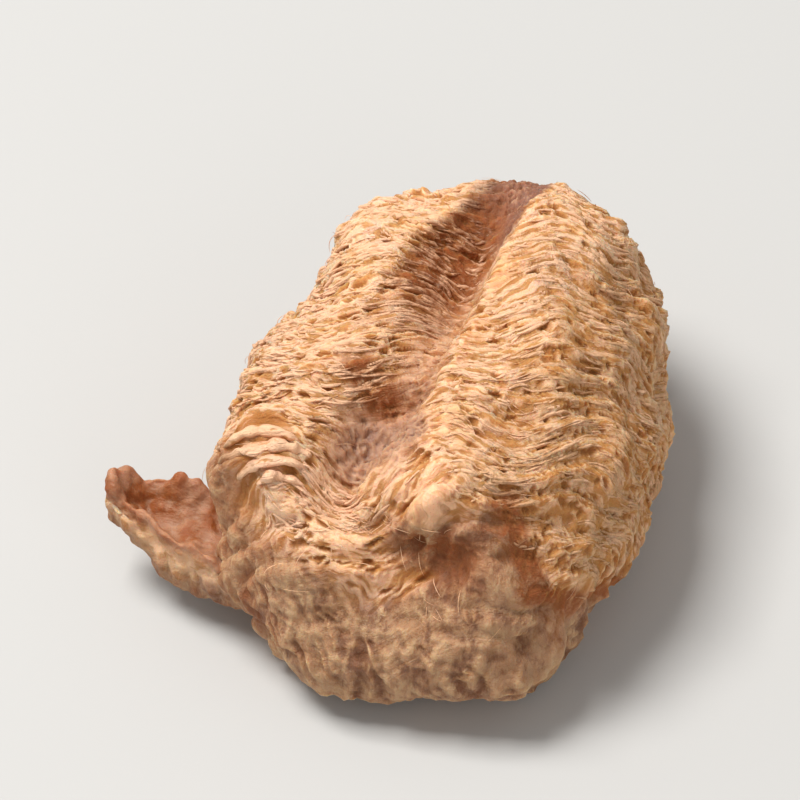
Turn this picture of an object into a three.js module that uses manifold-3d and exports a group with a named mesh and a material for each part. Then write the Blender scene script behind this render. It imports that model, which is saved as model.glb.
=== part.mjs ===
// Egg case of a large field mantis: one dried lump of foam, built by the insect as a stack of
// thin leaves that wrap crosswise over the long axis. Two swollen lobes run along its top with a
// furrow between them. The near end slopes down from a lip, with a leafy roll and a torn wing at
// its left corner, and the underside has the shallow channel that a twig left, between two flat
// lands that it rests on. +Y runs along the case to its far end, +X is its right side, +Z is up.
// Millimetres.
import * as THREE from 'three';
import { mergeVertices } from 'three/addons/utils/BufferGeometryUtils.js';
import Module from 'manifold-3d';

const { smoothstep, clamp, lerp } = THREE.MathUtils;

// Driving dimensions
const LENGTH = 36;
const WIDTH = 26;
const HEIGHT = 19.2;

// The blank that the lobes and furrow are pressed into
const HALF_LENGTH = LENGTH / 2;
const HALF_WIDTH = WIDTH / 2;
const WAIST_HEIGHT = 0.43 * HEIGHT; // where the case is widest
const CROWN = HEIGHT - WAIST_HEIGHT;
const KEEL = 1.25 * WAIST_HEIGHT; // reaches below the rest plane, which cuts it off flat
const END_BLUNTNESS = 2.9;
const SIDE_BLUNTNESS = 2.35;
const FAR_END_TAPER = 0.14;
const NEAR_SLOPE = { pull: 0.22, from: 2.5, to: 15 }; // share by which the near end leans back

// Relief of the top: the middle of each form, its depth or lift, and its spread
const FURROW = { x: -0.5, depth: 2.4, floor: 0.3, left: 4, right: 1.9 };
const FURROW_SWING = { by: 2.8, from: 3.5, to: 12 }; // to the left, as it nears the lip
const BOWL = { x: -1.8, y: -9.3, depth: 2.3, width: 3.2, length: 4, farEdge: -4.5 };
const TERRACE = { x: -4.6, y: 7.4, splay: 0.2, depth: 1.1, length: 6 };
const RIGHT_LOBE = { x: 4.6, y: 1, lift: 1.2, width: 4.6, length: 16 };
const LEFT_LOBE = { x: -7.6, y: -1, lift: 0.8, width: 3, length: 15 };
const LIP = { x: -2.4, y: -14.1, lift: 1.3, width: 0.9, reach: 7.5, bow: 0.055 };

// Near face, below the lip
const WINDOW = { x: 3.2, z: 12, depth: 1.7, width: 3, height: 2.4 };
const CREASE = { x: 7.3, z: 16, lean: 0.5, depth: 1.5, width: 0.9 };

// Leafy roll at the near left corner, with a neck behind it
const ROLL = { x: -9, y: -11.2, lift: 1.6, swell: 1.1, width: 3, length: 2.3 };
const NECK = { x: -8.5, y: -7.7, depth: 0.9, width: 4, length: 1.1 };

// Torn wing at the same corner: each size goes from its root to its tip
const WING = {
  x: [-8.5, -19.2],
  y: [-11.4, -10.3],
  bottom: [0.8, 3.6],
  top: [9.2, 9.5],
  depth: [5.6, 1.5],
  dish: 1.5,
  sag: 1.1,
};

// Channel of the twig in the underside
const CHANNEL = { x: -0.6, radius: 4.6, depth: 2.3 };

// Crosswise bundles of leaves
const LEAF = { pitch: 1.85, height: 0.46, slant: 0.38, lean: 0.24, bow: 0.01, wander: 0.55 };
const LEAF_RISE = 0.72; // share of a leaf that climbs to its free edge

// Lumps of the foam, each a slow wave over the surface: direction, waves per millimetre, height
const LUMPS = [
  { way: [0.8, 0.5, 0.3], rate: 0.62, height: 0.32, phase: 0.4 },
  { way: [-0.3, 0.7, 0.9], rate: 0.81, height: 0.26, phase: 2.1 },
  { way: [0.6, -0.9, 0.4], rate: 1.07, height: 0.2, phase: 4.4 },
  { way: [0.2, 0.4, -1.0], rate: 1.4, height: 0.15, phase: 1.3 },
];

// Facets
const RINGS = 80;
const SIDES = 56;
const WING_SIDES = 18;
const WING_RINGS = 14;
const RING_CROWDING = 0.15; // draws rings from the ends to the flanks
const TOP_CROWDING = 0.42; // draws facets from the underside to the top

const bell = (offset, width) => Math.exp(-((offset / width) ** 2));
const spot = (x, y, form) => bell(x - form.x, form.width) * bell(y - form.y, form.length);

// Radius of a rounded square of unit half-width, in the direction of an angle
function squareRadius(angle, bluntness) {
  const across = Math.abs(Math.cos(angle)) ** bluntness;
  const up = Math.abs(Math.sin(angle)) ** bluntness;
  return (across + up) ** (-1 / bluntness);
}

// Place on the blank for a polar angle from the far end and a turn from the top
function blankPoint(polar, turn) {
  const end = squareRadius(polar, END_BLUNTNESS);
  const along = end * Math.cos(polar);
  const ring = end * Math.sin(polar);
  const side = squareRadius(turn, SIDE_BLUNTNESS);
  const taper = 1 - FAR_END_TAPER * smoothstep(along, -0.2, 1);
  const up = side * Math.cos(turn);
  const z = WAIST_HEIGHT + (up > 0 ? CROWN : KEEL) * ring * up;
  const lean = NEAR_SLOPE.pull * smoothstep(z, NEAR_SLOPE.from, NEAR_SLOPE.to) * smoothstep(-along, 0, 1);
  return new THREE.Vector3(
    HALF_WIDTH * taper * ring * side * Math.sin(turn),
    HALF_LENGTH * along * (1 - lean),
    z
  );
}

// The furrow runs straight, then swings left as it opens into the bowl behind the lip
function furrowX(y) {
  return FURROW.x - FURROW_SWING.by * smoothstep(-y, FURROW_SWING.from, FURROW_SWING.to);
}

// Height added to the top
function topRelief(x, y) {
  const beside = x - furrowX(y);
  const wall = beside > 0 ? FURROW.right : FURROW.left;
  const shallow = 1 - 0.45 * smoothstep(y, 9, 16);
  const behindLip = smoothstep(y, LIP.y, LIP.y + 2.5);
  const trough = 1 - smoothstep(Math.abs(beside), FURROW.floor, wall);
  const furrow = FURROW.depth * shallow * behindLip * trough;
  const bowlStep = 1 - smoothstep(y, BOWL.farEdge - 1, BOWL.farEdge + 0.6);
  const bowl = BOWL.depth * spot(x, y, BOWL) * bowlStep;
  const terraceEdge = TERRACE.x + TERRACE.splay * (y - TERRACE.y);
  const tread = smoothstep(x, terraceEdge, terraceEdge + 1) * (1 - smoothstep(beside, -1, 1));
  const terrace = TERRACE.depth * tread * bell(y - TERRACE.y, TERRACE.length);
  const neck = NECK.depth * spot(x, y, NECK);
  const rightLobe = RIGHT_LOBE.lift * spot(x, y, RIGHT_LOBE);
  const leftLobe = LEFT_LOBE.lift * spot(x, y, LEFT_LOBE);
  const lipLine = LIP.y + LIP.bow * (x - LIP.x) ** 2;
  const lipEnds = 1 - smoothstep(Math.abs(x - LIP.x), 0.6 * LIP.reach, LIP.reach);
  const lip = LIP.lift * bell(y - lipLine, LIP.width) * lipEnds;
  const roll = ROLL.lift * spot(x, y, ROLL);
  return rightLobe + leftLobe + lip + roll - furrow - bowl - terrace - neck;
}

function lumps(x, y, z) {
  let sum = 0;
  for (const { way, rate, height, phase } of LUMPS) {
    sum += height * Math.sin(rate * (way[0] * x + way[1] * y + way[2] * z) + phase);
  }
  return sum;
}

// Counts the leaves along the case. They cross it at a slant, lean back on the flanks and bow
// over the lobes.
function leafCount(x, y, z) {
  const wander = LEAF.wander * (Math.sin(0.55 * x + 0.31 * y) + 0.7 * Math.sin(0.9 * z - 0.4 * x + 1.2));
  const along = y - LEAF.slant * x + LEAF.lean * (z - WAIST_HEIGHT) - LEAF.bow * x * x;
  return (along + wander) / LEAF.pitch;
}

// Each leaf rises slowly and drops at its free edge
function leafProfile(count) {
  const phase = count - Math.floor(count);
  return phase < LEAF_RISE ? phase / LEAF_RISE : (1 - phase) / (1 - LEAF_RISE);
}

// Roof of the twig's channel above the rest plane, and 0 on the lands beside it
function channelHeight(x) {
  const off = Math.min(Math.abs(x - CHANNEL.x), CHANNEL.radius);
  const rise = Math.sqrt(CHANNEL.radius ** 2 - off ** 2);
  return Math.max(rise - (CHANNEL.radius - CHANNEL.depth), 0);
}

function casePoint(polar, turn) {
  const p = blankPoint(polar, turn);
  const top = smoothstep(Math.cos(turn), 0.05, 0.6) * Math.sin(polar) ** 0.4;
  p.z += topRelief(p.x, p.y) * top;

  // Hollow window and crease in the near face, which is the part before the lip
  const near = smoothstep(-p.y, -LIP.y - 4, -LIP.y);
  const window = WINDOW.depth * bell(p.x - WINDOW.x, WINDOW.width) * bell(p.z - WINDOW.z, WINDOW.height);
  const creaseX = CREASE.x + CREASE.lean * (CREASE.z - p.z);
  const crease = CREASE.depth * bell(p.x - creaseX, CREASE.width) * smoothstep(p.z, 3, 8);
  p.y += near * (window + crease);

  // The roll also swells out over the left flank
  p.x -= ROLL.swell * smoothstep(-p.x, 6, 10) * bell(p.y - ROLL.y, ROLL.length) * smoothstep(p.z, 6, 11);

  // Lumps and leaves stand out from the middle of the case, and less on the near skin
  const out = new THREE.Vector3(p.x, 0.45 * p.y, p.z - WAIST_HEIGHT).normalize();
  const skin = smoothstep(-p.y, -LIP.y, -LIP.y + 2);
  const rough = LEAF.height * (leafProfile(leafCount(p.x, p.y, p.z)) - 0.5) * (1 - 0.75 * skin);
  p.addScaledVector(out, lumps(p.x, p.y, p.z) + rough);

  p.z = Math.max(p.z, Math.cos(turn) < 0 ? channelHeight(p.x) : 0);
  return p;
}

// A unit ball whose every point is moved by a function of its polar angle and turn
function movedBall(sides, rings, move) {
  const sphere = new THREE.SphereGeometry(1, sides, rings);
  sphere.deleteAttribute('normal');
  sphere.deleteAttribute('uv');
  const ball = mergeVertices(sphere);
  const points = ball.getAttribute('position');
  for (let i = 0; i < points.count; i++) {
    const polar = Math.acos(clamp(points.getY(i), -1, 1));
    const turn = Math.atan2(points.getX(i), points.getZ(i));
    const p = move(polar, turn);
    points.setXYZ(i, p.x, p.y, p.z);
  }
  return ball;
}

function bodyGeometry() {
  return movedBall(SIDES, RINGS, (polar, turn) => casePoint(
    polar + RING_CROWDING * Math.sin(2 * polar),
    turn - TOP_CROWDING * Math.sin(turn)
  ));
}

// The torn wing is a flange with a dished top and a ragged edge that thins towards its tip
function wingGeometry() {
  return movedBall(WING_SIDES, WING_RINGS, (polar, turn) => {
    const out = 0.5 - 0.5 * Math.cos(polar); // 0 at the root, 1 at the tip
    const ring = Math.sin(polar) ** 0.5;
    const side = squareRadius(turn, 3) * ring;
    const top = lerp(...WING.top, out) - WING.sag * Math.sin(Math.PI * out);
    const bottom = lerp(...WING.bottom, out);
    const dish = WING.dish * Math.max(Math.cos(turn), 0) ** 2 * ring;
    const ragged = 0.35 * Math.sin(3 * turn + 7 * out) * out * ring;
    return new THREE.Vector3(
      lerp(...WING.x, out) - 0.4 * ragged,
      lerp(...WING.y, out) - (lerp(...WING.depth, out) / 2) * side * Math.sin(turn) + ragged,
      (top + bottom) / 2 + ((top - bottom) / 2) * side * Math.cos(turn) - dish + ragged
    );
  });
}

// Joins closed geometries into one solid
async function joined(...geometries) {
  const wasm = await Module();
  wasm.setup();
  const solids = geometries.map((geometry) => new wasm.Manifold(new wasm.Mesh({
    numProp: 3,
    vertProperties: geometry.getAttribute('position').array,
    triVerts: new Uint32Array(geometry.index.array),
  })));
  const mesh = solids.reduce((whole, next) => whole.add(next)).getMesh();
  return new THREE.BufferGeometry()
    .setAttribute('position', new THREE.BufferAttribute(mesh.vertProperties, 3))
    .setIndex(new THREE.BufferAttribute(mesh.triVerts, 1));
}

const foam = new THREE.MeshStandardMaterial({ color: 0xc9996a, roughness: 0.8, metalness: 0 });

const geometry = await joined(bodyGeometry(), wingGeometry());

// The origin is the middle of the bounding box, on the rest plane
geometry.computeBoundingBox();
const middle = geometry.boundingBox.getCenter(new THREE.Vector3());
geometry.translate(-middle.x, -middle.y, 0);
geometry.computeVertexNormals();

const eggCase = new THREE.Mesh(geometry, foam);
eggCase.name = 'egg_case';

const group = new THREE.Group();
group.add(eggCase);

export default group;
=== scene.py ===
"""Looks of a dried mantis egg case: a lump of leafy foam with a lengthwise furrow on its top."""

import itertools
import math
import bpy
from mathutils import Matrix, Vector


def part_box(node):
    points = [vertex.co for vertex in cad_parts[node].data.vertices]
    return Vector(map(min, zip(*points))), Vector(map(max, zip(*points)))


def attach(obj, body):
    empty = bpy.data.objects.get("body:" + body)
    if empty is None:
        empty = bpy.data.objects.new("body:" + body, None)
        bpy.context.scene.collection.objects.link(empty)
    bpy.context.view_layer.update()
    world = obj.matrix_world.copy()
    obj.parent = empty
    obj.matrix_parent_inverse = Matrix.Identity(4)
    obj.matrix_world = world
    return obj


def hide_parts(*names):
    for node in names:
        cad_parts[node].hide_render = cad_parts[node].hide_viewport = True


bl_info = {
    "name": "Mantis Egg Case",
    "version": (1, 0, 0),
    "blender": (4, 5, 0),
    "location": "View3D > Sidebar > Egg Case",
    "description": "Models the leafy foam of a dried mantis egg case over its packed solid",
    "category": "Add Mesh",
}

import bmesh
import bpy
import numpy as np
from bpy.props import FloatProperty, FloatVectorProperty, IntProperty, PointerProperty
from mathutils import Vector

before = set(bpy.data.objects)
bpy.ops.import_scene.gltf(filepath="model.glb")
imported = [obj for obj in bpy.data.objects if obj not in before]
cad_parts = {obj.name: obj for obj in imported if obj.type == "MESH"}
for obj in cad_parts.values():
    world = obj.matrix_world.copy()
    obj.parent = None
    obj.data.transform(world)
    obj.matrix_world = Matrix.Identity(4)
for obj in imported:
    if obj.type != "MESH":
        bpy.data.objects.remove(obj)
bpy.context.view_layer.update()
CASE_LOW, CASE_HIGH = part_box("egg_case")
MM = 0.001

# Lengths are in millimetres where nothing else is said. A pair is a range, mostly the one over which
# a form fades in or out.

# Size of the case, and the blank that its forms are pressed into
LENGTH = 36
WIDTH = 26
HEIGHT = 19.2
WAIST_HEIGHT = 0.43 * HEIGHT  # where the case is widest
CROWN = HEIGHT - WAIST_HEIGHT
KEEL = 1.25 * WAIST_HEIGHT  # reaches below the rest plane, which cuts it off flat
END_BLUNTNESS = 2.9
SIDE_BLUNTNESS = 2.35
FAR_END_TAPER = {"by": 0.14, "over": (-0.2, 1)}
NEAR_SLOPE = {"pull": 0.22, "over": (2.5, 15)}

# Relief of the top: the middle of each form, its depth or lift, and its spread
FURROW = {"x": -0.5, "depth": 2.4, "floor": 0.3, "left": 4, "right": 1.9}
FURROW_SWING = {"by": 2.8, "over": (3.5, 12)}
FURROW_END = {"loss": 0.45, "over": (9, 16)}
BOWL = {"x": -1.8, "y": -9.3, "depth": 2.3, "width": 3.2, "length": 4, "far_edge": (-5.5, -3.9)}
TERRACE = {"x": -4.6, "y": 7.4, "splay": 0.2, "riser": 1, "depth": 1.1, "length": 6}
RIGHT_LOBE = {"x": 4.6, "y": 1, "lift": 1.2, "width": 4.6, "length": 16}
LEFT_LOBE = {"x": -7.6, "y": -1, "lift": 0.8, "width": 3, "length": 15}
LIP = {"x": -2.4, "y": -14.1, "lift": 1.3, "width": 0.9, "bow": 0.055, "back": 2.5, "ends": (4.5, 7.5)}
TOP = {"over": (0.05, 0.6), "end_bluntness": 0.4}

# Near face, below the lip
WINDOW = {"x": 3.2, "z": 12, "depth": 1.7, "width": 3, "height": 2.4}
CREASE = {"x": 7.3, "z": 16, "lean": 0.5, "depth": 1.5, "width": 0.9, "foot": (3, 8)}
NEAR_FACE = {"fade": 4, "skin": 2, "smoothing": 0.75}

# Leafy roll at the near left corner, with a neck behind it
ROLL = {"x": -9, "y": -11.2, "lift": 1.6, "swell": 1.1, "width": 3, "length": 2.3}
ROLL_SWELL = {"side": (6, 10), "foot": (6, 11)}
NECK = {"x": -8.5, "y": -7.7, "depth": 0.9, "width": 4, "length": 1.1}

# Torn wing at the same corner: a pair of sizes goes from its root to its tip
WING = {
    "x": (-8.5, -19.2),
    "y": (-11.4, -10.3),
    "bottom": (0.8, 3.6),
    "top": (9.2, 9.5),
    "depth": (6.2, 2.4),
    "hollow": 3.0,
    "tip_lift": 0.9,
    "notch": 0.7,
    "keel_wave": 0.5,
    "bluntness": 3.4,
}
WING_TEARS = {"wide": 0.28, "middling": 0.2, "small": 0.1}
WING_SURFACE = {"inside": (0.05, 0.4), "rim": 0.3, "fold": 0.2, "grain": 0.13, "sink": 0.12}

# Channel of the twig in the underside
CHANNEL = {"x": -0.6, "radius": 4.6, "depth": 2.3}

# Crosswise bundles of leaves
LEAF = {"pitch": 1.85, "height": 0.46, "slant": 0.38, "lean": 0.24, "bow": 0.01, "wander": 0.55}
LEAF_RISE = 0.72
LEAF_WARP = {"along": 0.5, "across": 0.34, "small": 0.17}
GIRTH_MIDDLE = 5  # height of the axis that leaves wrap round
ENDWARD = 0.45  # how far the foam's relief turns towards the ends

# Waves: way, radians to a millimetre that way, height and phase
LUMPS = (
    ((0.8, 0.5, 0.3), 0.62, 0.32, 0.4),
    ((-0.3, 0.7, 0.9), 0.81, 0.26, 2.1),
    ((0.6, -0.9, 0.4), 1.07, 0.2, 4.4),
    ((0.2, 0.4, -1.0), 1.4, 0.15, 1.3),
)
LEAF_WANDER = (
    ((0.55, 0.31, 0), 1, 1, 0),
    ((-0.4, 0, 0.9), 1, 0.7, 1.2),
)

# Zones of the surface: a place and spread, or the range over which a zone fades in
STEP_DOWN = {"x": -3.4, "y": -5.4, "width": 2.2, "length": 0.9}
WINDOW_PATCH = {"x": 3.7, "z": 13.1, "width": 3.2, "height": 2.1, "strength": 0.62}
NEAR_WALL = {"behind": 2.3, "width": 1.5}
RIM = {"wander": 0.25, "width": 0.42, "height": 0.4}
# Width of the painted shadow down the crease of the near face
CREASE_SHADE_WIDTH = 0.675
ZONE = {
    "top_side": (0.1, 0.5),
    "top_height": (11, 14),
    "narrow_near": (-6, -3),
    "narrow_far": (9, 12),
    "window_near": (10.8, 11.8),
    "crease_foot": (1, 7),
    "crease_near": (0.2, 1.6),
    "behind_lip": (0.3, 1.5),
    "lip_ends": (5.625, 7.875),
    "trough_film": (0.45, 0.9),
    "bowl_film": (0.22, 0.6),
    "skin_near": (0.6, 2),
    "skin_left": (-0.4, 1.4),
    "window_skin": (0.2, 0.5),
    "window_bare": (0.1, 0.4),
    "felt": (4.2, 7.5),
    "roll_height": (5, 9),
    "roll": (0.6, 0.85),
    "left_corner": (3, 8),
    "furrow_shade": (0.05, 0.5),
    "far_shade": (7, 11),
}

# Foam cells, as sizes along and across the leaves, and the steps between rows of leaves
CELL = {"size": (1.25, 0.46), "wall": (0.02, 0.42), "slit": (0.12, 0.55), "closed": 0.7, "edge": 0.2}
SMALL_CELL = {"size": (0.6, 0.4), "shift": 3.1, "wall": (0.02, 0.5), "pit": (0.12, 0.5)}
OPEN_SMALL_CELLS = (0.62, 0.82)
CELL_SCATTER = 0.42
ROW_STEP = {"pitch": 0.66, "edge": (0, 0.3), "stretch": 0.45, "parting": 5.3, "strength": (-0.5, 0.6)}

# Fine relief: how far each small form stands out of a kind of surface
LEAFY_RELIEF = {"wall": 0.08, "step": 0.1, "slit": -0.3, "pit": -0.1}
FELT_RELIEF = {"small_wall": 0.07, "pit": -0.2, "slit": -0.15}
FOAM_RELIEF = {"lump": 0.14, "grain": 0.06}
SKIN_RELIEF = {"fold": 0.2, "wrinkle": 0.1, "strand": 0.17, "grain": 0.05}
FILM_RELIEF = {"blister": 0.16, "small_wall": 0.16, "grain": 0.14, "pit": -0.14}
ROLL_SINK = 0.2
WINDOW_SINK = 0.35

# What the colours follow, kept on each vertex. The crest, gap and shade marks carry painted light and shade.
MARKS = ("crest", "gap", "film", "skin", "felt", "brown", "shade")

# Free leaf edges, in rows along the case: a range or a spread of each size, with angles in radians
LEAF_ROWS = np.arange(-19, 21, 0.6)
LEAF_EDGE = {
    "left_turns": (-1.75, -0.12),
    "right_turns": (-0.1, 1.7),
    "sweep": (0.06, 0.24),
    "scatter": 0.13,
    "slope": 0.3,
    "arch": 0.16,
    "lean": (-0.6, 0.9),
    "thick": (0.12, 0.36),
    "foot": 0.15,
    "sunk": 0.3,
    "longest_leap": 1,
    "least_bare": 0.05,
}
LEAF_POLARS = (0.25, math.pi - 0.3)
LEAF_SEED = 5
THIN_SEGMENTS = 6
FAT_SEGMENTS = 40

# Sections of a thin leaf edge and of a fat rolled leaf: offset aside and share of the height
THIN_SECTION = ((1, 0), (0.6, 1), (-0.6, 1), (-1, 0))
FAT_SIDE = ((1, 0), (1.15, 0.45), (0.8, 0.88), (0.28, 1))
FAT_SECTION = (*FAT_SIDE, *((-aside, up) for aside, up in reversed(FAT_SIDE)))

# The four fat leaves of the roll, from its near end to its far end
ROLLED_LEAVES = {
    "start": (-0.98, -1.08, -1.1, -1.02),
    "sweep": (0.38, 0.54, 0.58, 0.44),
    "across": (-9.6, -8.6, -7.55, -6.6),
    "slope": (0.6, 0.3, 0, -0.4),
    "arch": (-0.1, 0.1, 0.3, 0.4),
    "tall": (0.5, 0.72, 0.8, 0.6),
    "lean": (0.3, 0.25, 0.1, 0.0),
    "thick": (0.6, 0.72, 0.76, 0.66),
    "shade": (0.9, 1.0, 0.95, 0.9),
}

# Loose fibres: ranges and spreads of each size, with angles in radians
FIBRE_SEED = 8
FIBRE = {
    "polar": (0.3, 2.9),
    "turn": (-1.5, 1.5),
    "near_polar": (2.55, 2.85),
    "heading": 0.5,
    "bend": 0.4,
    "arch": (0.05, 0.35),
    "clearance": 0.05,
    "segments": 7,
    "sides": 3,
}

# How far the rings of the body's mesh are drawn to its middle
RING_CROWDING = 0.15

# Finish of the foam
SOFTNESS = 0.6
SOFT_RADIUS = (1.0, 0.55, 0.3)
SOFT_DEPTH = 1.1 * MM
BUMP_DEPTH = 0.4 * MM

# View of the camera: pixels of the render by which the body's axis lies right of its middle and
# below it, and its scale
VIEW_SHIFT = (57, 122)
VIEW_SCALE = 15700  # pixels to a metre
BODY_AXIS = Vector((3 * MM, 0, 0))

# Lights, in metres from the middle of the case
KEY_LIGHT = {"place": (-0.18, -0.03, 0.46), "size": 0.2}
FILL_LIGHT = {"place": (0.38, -0.35, 0.30), "size": 0.4}
FLOOR_REACH = 2


def smoothstep(value, low, high):
    share = np.clip((value - low) / (high - low), 0, 1)
    return share * share * (3 - 2 * share)


def bell(offset, width):
    return np.exp(-((offset / width) ** 2))


def spot(x, y, form):
    return bell(x - form["x"], form["width"]) * bell(y - form["y"], form["length"])


def face_spot(x, z, form):
    return bell(x - form["x"], form["width"]) * bell(z - form["z"], form["height"])


def between(ends, share):
    return ends[0] + (ends[1] - ends[0]) * share


def hashed(cells, seed):
    """A number from 0 to 1 for each whole-number cell."""
    mixed = cells[..., 0] * 73856093 ^ cells[..., 1] * 19349663 ^ cells[..., 2] * 83492791
    mixed = (mixed ^ seed * 668265263) & 0xFFFFFFFF
    mixed = (mixed ^ mixed >> 15) * 0x2C1B3C6D & 0xFFFFFFFF
    mixed = (mixed ^ mixed >> 12) * 0x297A2D39 & 0xFFFFFFFF
    return (mixed ^ mixed >> 15) / 0xFFFFFFFF


def noise(points, rate, seed=0):
    """Smooth noise from -1 to 1, with rate cells to a millimetre."""
    scaled = points * rate
    cell = np.floor(scaled).astype(np.int64)
    part = scaled - cell
    part = part * part * (3 - 2 * part)
    total = 0
    for corner in itertools.product((0, 1), repeat=3):
        weight = np.prod(np.where(corner, part, 1 - part), axis=-1)
        total = total + weight * hashed(cell + np.array(corner), seed)
    return 2 * total - 1


def ridges(points, rate, seed):
    """Noise folded into ridges, from -1 in the hollows to 1 on the crests."""
    return 1 - 2 * np.abs(noise(points, rate, seed))


def waves(table, x, y, z):
    return sum(
        height * np.sin(rate * (way[0] * x + way[1] * y + way[2] * z) + phase)
        for way, rate, height, phase in table
    )


def square_radius(angle, bluntness):
    """Radius of a rounded square of unit half-width, in the direction of an angle."""
    across = np.abs(np.cos(angle)) ** bluntness
    up = np.abs(np.sin(angle)) ** bluntness
    return (across + up) ** (-1 / bluntness)


def blank_point(polar, turn):
    """Place on the blank for a polar angle from the far end and a turn from the top."""
    end = square_radius(polar, END_BLUNTNESS)
    along = end * np.cos(polar)
    ring = end * np.sin(polar)
    side = square_radius(turn, SIDE_BLUNTNESS)
    taper = 1 - FAR_END_TAPER["by"] * smoothstep(along, *FAR_END_TAPER["over"])
    up = side * np.cos(turn)
    z = WAIST_HEIGHT + np.where(up > 0, CROWN, KEEL) * ring * up
    lean = NEAR_SLOPE["pull"] * smoothstep(z, *NEAR_SLOPE["over"]) * smoothstep(-along, 0, 1)
    return WIDTH / 2 * taper * ring * side * np.sin(turn), LENGTH / 2 * along * (1 - lean), z


def furrow_x(y):
    return FURROW["x"] - FURROW_SWING["by"] * smoothstep(-y, *FURROW_SWING["over"])


def furrow_trough(x, y):
    """1 on the furrow's floor and 0 beyond its walls. The right wall is the steep one."""
    beside = x - furrow_x(y)
    wall = np.where(beside > 0, FURROW["right"], FURROW["left"])
    return 1 - smoothstep(np.abs(beside), FURROW["floor"], wall)


def bowl_share(x, y):
    return spot(x, y, BOWL) * (1 - smoothstep(y, *BOWL["far_edge"]))


def terrace_share(x, y):
    edge = TERRACE["x"] + TERRACE["splay"] * (y - TERRACE["y"])
    riser = TERRACE["riser"]
    tread = smoothstep(x, edge, edge + riser) * (1 - smoothstep(x - furrow_x(y), -riser, riser))
    return tread * bell(y - TERRACE["y"], TERRACE["length"])


def lip_line(x):
    return LIP["y"] + LIP["bow"] * (x - LIP["x"]) ** 2


def top_relief(x, y):
    """Height added to the top."""
    shallow = 1 - FURROW_END["loss"] * smoothstep(y, *FURROW_END["over"])
    behind_lip = smoothstep(y, LIP["y"], LIP["y"] + LIP["back"])
    furrow = FURROW["depth"] * shallow * behind_lip * furrow_trough(x, y)
    bowl = BOWL["depth"] * bowl_share(x, y)
    terrace = TERRACE["depth"] * terrace_share(x, y)
    neck = NECK["depth"] * spot(x, y, NECK)
    right_lobe = RIGHT_LOBE["lift"] * spot(x, y, RIGHT_LOBE)
    left_lobe = LEFT_LOBE["lift"] * spot(x, y, LEFT_LOBE)
    lip_ends = 1 - smoothstep(np.abs(x - LIP["x"]), *LIP["ends"])
    lip = LIP["lift"] * bell(y - lip_line(x), LIP["width"]) * lip_ends
    roll = ROLL["lift"] * spot(x, y, ROLL)
    return right_lobe + left_lobe + lip + roll - furrow - bowl - terrace - neck


def leaf_count(x, y, z):
    """Counts the bundles of leaves along the case."""
    wander = LEAF["wander"] * waves(LEAF_WANDER, x, y, z)
    along = y - LEAF["slant"] * x + LEAF["lean"] * (z - WAIST_HEIGHT) - LEAF["bow"] * x * x
    return (along + wander) / LEAF["pitch"]


def bundle_profile(count):
    phase = count - np.floor(count)
    return np.where(phase < LEAF_RISE, phase / LEAF_RISE, (1 - phase) / (1 - LEAF_RISE))


def channel_height(x):
    off = np.minimum(np.abs(x - CHANNEL["x"]), CHANNEL["radius"])
    rise = np.sqrt(CHANNEL["radius"] ** 2 - off**2)
    return np.maximum(rise - (CHANNEL["radius"] - CHANNEL["depth"]), 0)


def crease_x(z):
    return CREASE["x"] + CREASE["lean"] * (CREASE["z"] - z)


def rest_plane(x, turn):
    """Lowest height that the underside may have."""
    return np.where(np.cos(turn) < 0, channel_height(x), 0)


def case_points(polar, turn):
    """Points of the case's main form, as rows of x, y and z."""
    x, y, z = blank_point(polar, turn)
    top = smoothstep(np.cos(turn), *TOP["over"]) * np.sin(polar).clip(0) ** TOP["end_bluntness"]
    z = z + top_relief(x, y) * top
    near = smoothstep(-y, -LIP["y"] - NEAR_FACE["fade"], -LIP["y"])
    window = WINDOW["depth"] * face_spot(x, z, WINDOW)
    crease = CREASE["depth"] * bell(x - crease_x(z), CREASE["width"]) * smoothstep(z, *CREASE["foot"])
    y = y + near * (window + crease)
    corner = smoothstep(-x, *ROLL_SWELL["side"]) * smoothstep(z, *ROLL_SWELL["foot"])
    x = x - ROLL["swell"] * corner * bell(y - ROLL["y"], ROLL["length"])
    out = np.stack([x, ENDWARD * y, z - WAIST_HEIGHT], axis=-1)
    out /= np.linalg.norm(out, axis=-1, keepdims=True)
    skin = smoothstep(-y, -LIP["y"], -LIP["y"] + NEAR_FACE["skin"])
    bundles = LEAF["height"] * (bundle_profile(leaf_count(x, y, z)) - 0.5)
    relief = waves(LUMPS, x, y, z) + bundles * (1 - NEAR_FACE["smoothing"] * skin)
    points = np.stack([x, y, z], axis=-1) + out * relief[:, None]
    points[:, 2] = np.maximum(points[:, 2], rest_plane(points[:, 0], turn))
    return points


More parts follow.
